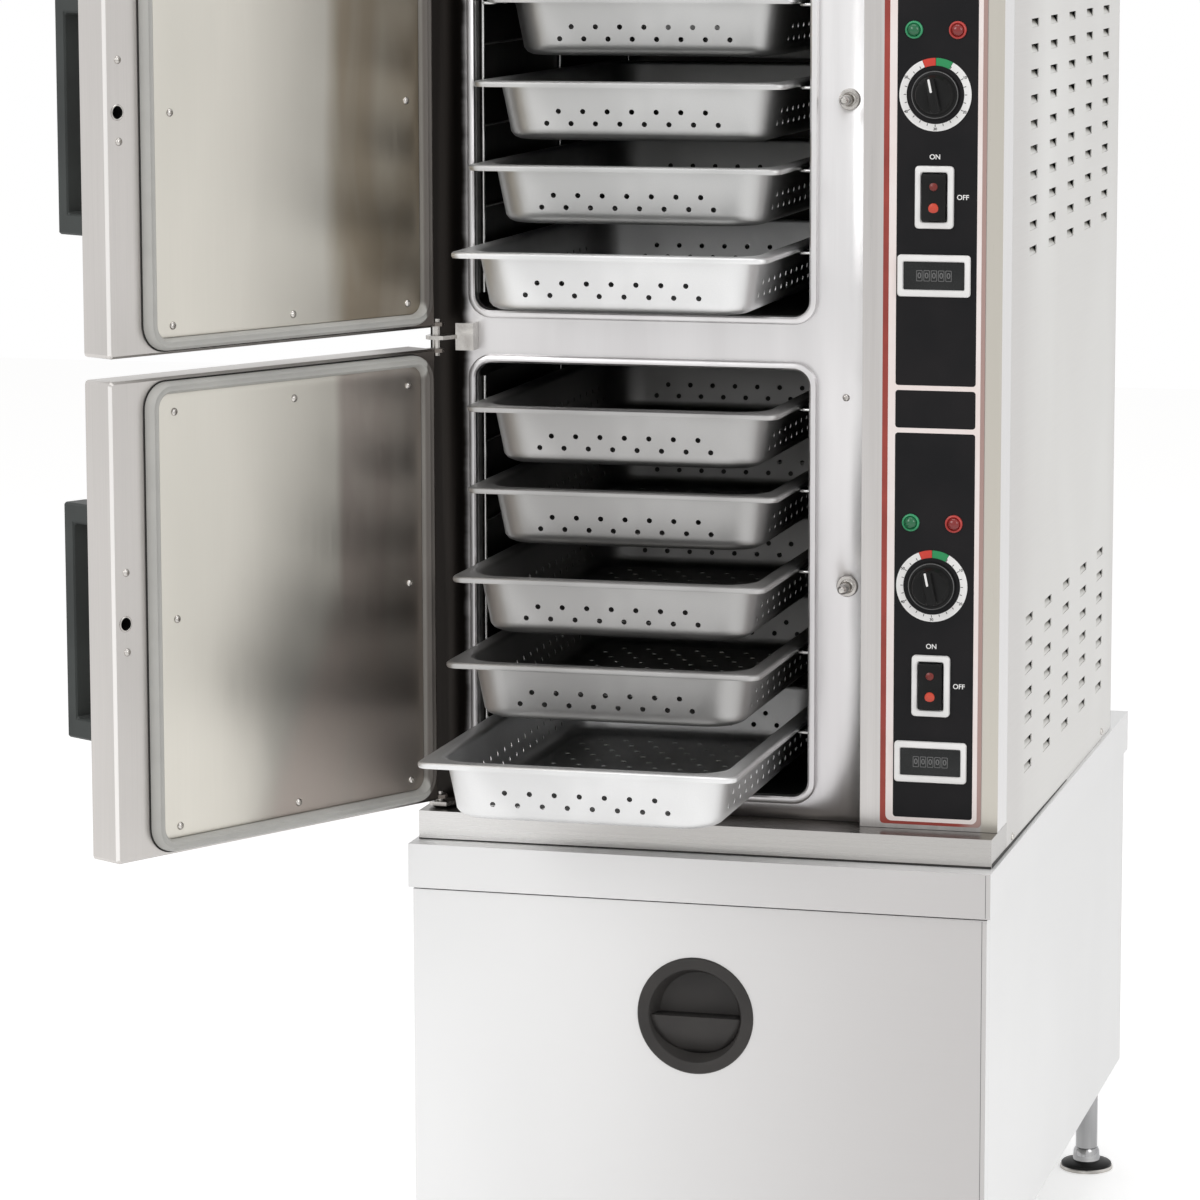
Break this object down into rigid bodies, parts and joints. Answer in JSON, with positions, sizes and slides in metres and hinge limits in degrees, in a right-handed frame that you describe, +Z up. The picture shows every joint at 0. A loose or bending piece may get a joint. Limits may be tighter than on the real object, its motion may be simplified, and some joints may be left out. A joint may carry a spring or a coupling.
{
  "type": "electric convection steamer",
  "caption": "Stacked steam compartments with hinged doors, sliding perforated pans and a control column, on a closed cabinet base with tube legs.",
  "frame": {"origin": "on the floor, under the middle of the outer box with both doors open", "axes": "+Z up, the front faces -Y, +X to the right seen from the front"},
  "size_m": [0.8644, 1.2688, 1.589],
  "materials": {
    "stainless": "brushed",
    "satin_stainless": "satin, very light",
    "dull_stainless": "dull",
    "pan_steel": "bright drawn",
    "bright_wire": "bright",
    "gasket_rubber": "matte",
    "black_plastic": "fine grained",
    "panel_overlay": "satin overlay",
    "green_lens": "clear gloss",
    "red_lens": "clear gloss",
    "motor_paint": "semi-gloss"
  },
  "bodies": {
    "cabinet": {"base_top_frame": "satin_stainless", "base_side_left": "satin_stainless", "base_side_right": "satin_stainless", "base_chassis": "dull_stainless", "leg_front_left": "stainless", "leg_front_right": "stainless", "leg_rear_left": "stainless", "leg_rear_right": "stainless", "steamer_ledge": "stainless", "front_fascia": "stainless", "control_column": "stainless", "side_panel_left": "stainless", "side_panel_right": "stainless", "top_panel": "stainless", "rear_panel": "dull_stainless", "lower_cavity_liner": "dull_stainless", "lower_fan_guard": "dull_stainless", "lower_fan_motor": "motor_paint", "lower_steam_generator": "dull_stainless", "lower_rack": "bright_wire", "lower_strike_stud": "bright_wire", "lower_ready_lamp": "green_lens", "lower_cooking_lamp": "red_lens", "upper_cavity_liner": "dull_stainless", "upper_fan_guard": "dull_stainless", "upper_fan_motor": "motor_paint", "upper_steam_generator": "dull_stainless", "upper_rack": "bright_wire", "upper_strike_stud": "bright_wire", "upper_ready_lamp": "green_lens", "upper_cooking_lamp": "red_lens", "hinge_bracket_bottom": "dull_stainless", "hinge_bracket_middle": "dull_stainless", "hinge_bracket_top": "dull_stainless", "control_panel": "panel_overlay"},
    "front_panel": {"base_front_panel": "satin_stainless", "panel_pull": "black_plastic"},
    "lower_door": {"lower_door_shell": "stainless", "lower_door_gasket": "gasket_rubber", "lower_door_liner": "stainless", "lower_door_handle": "black_plastic"},
    "upper_door": {"upper_door_shell": "stainless", "upper_door_gasket": "gasket_rubber", "upper_door_liner": "stainless", "upper_door_handle": "black_plastic"},
    "lower_pan_1_body": {"lower_pan_1": "pan_steel"},
    "lower_pan_2_body": {"lower_pan_2": "pan_steel"},
    "lower_pan_3_body": {"lower_pan_3": "pan_steel"},
    "lower_pan_4_body": {"lower_pan_4": "pan_steel"},
    "lower_pan_5_body": {"lower_pan_5": "pan_steel"},
    "upper_pan_1_body": {"upper_pan_1": "pan_steel"},
    "upper_pan_2_body": {"upper_pan_2": "pan_steel"},
    "upper_pan_3_body": {"upper_pan_3": "pan_steel"},
    "upper_pan_4_body": {"upper_pan_4": "pan_steel"},
    "lower_fan": {"lower_fan_wheel": "stainless"},
    "lower_timer": {"lower_timer_knob": "black_plastic"},
    "lower_switch": {"lower_rocker": "black_plastic"},
    "upper_fan": {"upper_fan_wheel": "stainless"},
    "upper_timer": {"upper_timer_knob": "black_plastic"},
    "upper_switch": {"upper_rocker": "black_plastic"}
  },
  "joints": [
    {"name": "front_panel_slide", "type": "slide", "parent": "cabinet", "child": "front_panel", "axis": [0, -1, 0], "range_m": [0, 0.1]},
    {"name": "lower_door_hinge", "type": "hinge", "parent": "cabinet", "child": "lower_door", "pos_m": [-0.15885, -0.24562, 0.8275], "axis": [0, 0, -1], "range_deg": [-119, 0]},
    {"name": "upper_door_hinge", "type": "hinge", "parent": "cabinet", "child": "upper_door", "pos_m": [-0.15885, -0.24562, 1.3215], "axis": [0, 0, -1], "range_deg": [-119, 0]},
    {"name": "lower_pan_1_slide", "type": "slide", "parent": "cabinet", "child": "lower_pan_1_body", "axis": [0, -1, 0], "range_m": [-0.348, 0]},
    {"name": "lower_pan_2_slide", "type": "slide", "parent": "cabinet", "child": "lower_pan_2_body", "axis": [0, -1, 0], "range_m": [-0.248, 0]},
    {"name": "lower_pan_3_slide", "type": "slide", "parent": "cabinet", "child": "lower_pan_3_body", "axis": [0, -1, 0], "range_m": [-0.224, 0]},
    {"name": "lower_pan_4_slide", "type": "slide", "parent": "cabinet", "child": "lower_pan_4_body", "axis": [0, -1, 0], "range_m": [-0.169, 0]},
    {"name": "lower_pan_5_slide", "type": "slide", "parent": "cabinet", "child": "lower_pan_5_body", "axis": [0, -1, 0], "range_m": [-0.171, 0]},
    {"name": "upper_pan_1_slide", "type": "slide", "parent": "cabinet", "child": "upper_pan_1_body", "axis": [0, -1, 0], "range_m": [-0.222, 0]},
    {"name": "upper_pan_2_slide", "type": "slide", "parent": "cabinet", "child": "upper_pan_2_body", "axis": [0, -1, 0], "range_m": [-0.16, 0]},
    {"name": "upper_pan_3_slide", "type": "slide", "parent": "cabinet", "child": "upper_pan_3_body", "axis": [0, -1, 0], "range_m": [-0.14, 0]},
    {"name": "upper_pan_4_slide", "type": "slide", "parent": "cabinet", "child": "upper_pan_4_body", "axis": [0, -1, 0], "range_m": [-0.09, 0]},
    {"name": "lower_fan_spin", "type": "hinge", "parent": "cabinet", "child": "lower_fan", "pos_m": [0.05265, 0.42738, 0.8275], "axis": [0, 1, 0], "continuous": true},
    {"name": "lower_timer_turn", "type": "hinge", "parent": "cabinet", "child": "lower_timer", "pos_m": [0.35915, -0.24912, 0.834], "axis": [0, 1, 0], "range_deg": [0, 300]},
    {"name": "lower_switch_tilt", "type": "hinge", "parent": "cabinet", "child": "lower_switch", "pos_m": [0.35915, -0.24042, 0.732], "axis": [1, 0, 0], "range_deg": [-6, 6]},
    {"name": "upper_fan_spin", "type": "hinge", "parent": "cabinet", "child": "upper_fan", "pos_m": [0.05265, 0.42738, 1.3215], "axis": [0, 1, 0], "continuous": true},
    {"name": "upper_timer_turn", "type": "hinge", "parent": "cabinet", "child": "upper_timer", "pos_m": [0.35915, -0.24912, 1.328], "axis": [0, 1, 0], "range_deg": [0, 300]},
    {"name": "upper_switch_tilt", "type": "hinge", "parent": "cabinet", "child": "upper_switch", "pos_m": [0.35915, -0.24042, 1.226], "axis": [1, 0, 0], "range_deg": [-6, 6]}
  ],
  "couplings": [
    {"joint": "lower_pan_1_slide", "follows": "lower_door_hinge", "m_per_rad": 0.16755},
    {"joint": "lower_pan_2_slide", "follows": "lower_door_hinge", "m_per_rad": 0.11941},
    {"joint": "lower_pan_3_slide", "follows": "lower_door_hinge", "m_per_rad": 0.10785},
    {"joint": "lower_pan_4_slide", "follows": "lower_door_hinge", "m_per_rad": 0.081369},
    {"joint": "lower_pan_5_slide", "follows": "lower_door_hinge", "m_per_rad": 0.082332},
    {"joint": "upper_pan_1_slide", "follows": "upper_door_hinge", "m_per_rad": 0.10689},
    {"joint": "upper_pan_2_slide", "follows": "upper_door_hinge", "m_per_rad": 0.077036},
    {"joint": "upper_pan_3_slide", "follows": "upper_door_hinge", "m_per_rad": 0.067406},
    {"joint": "upper_pan_4_slide", "follows": "upper_door_hinge", "m_per_rad": 0.043332}
  ]
}
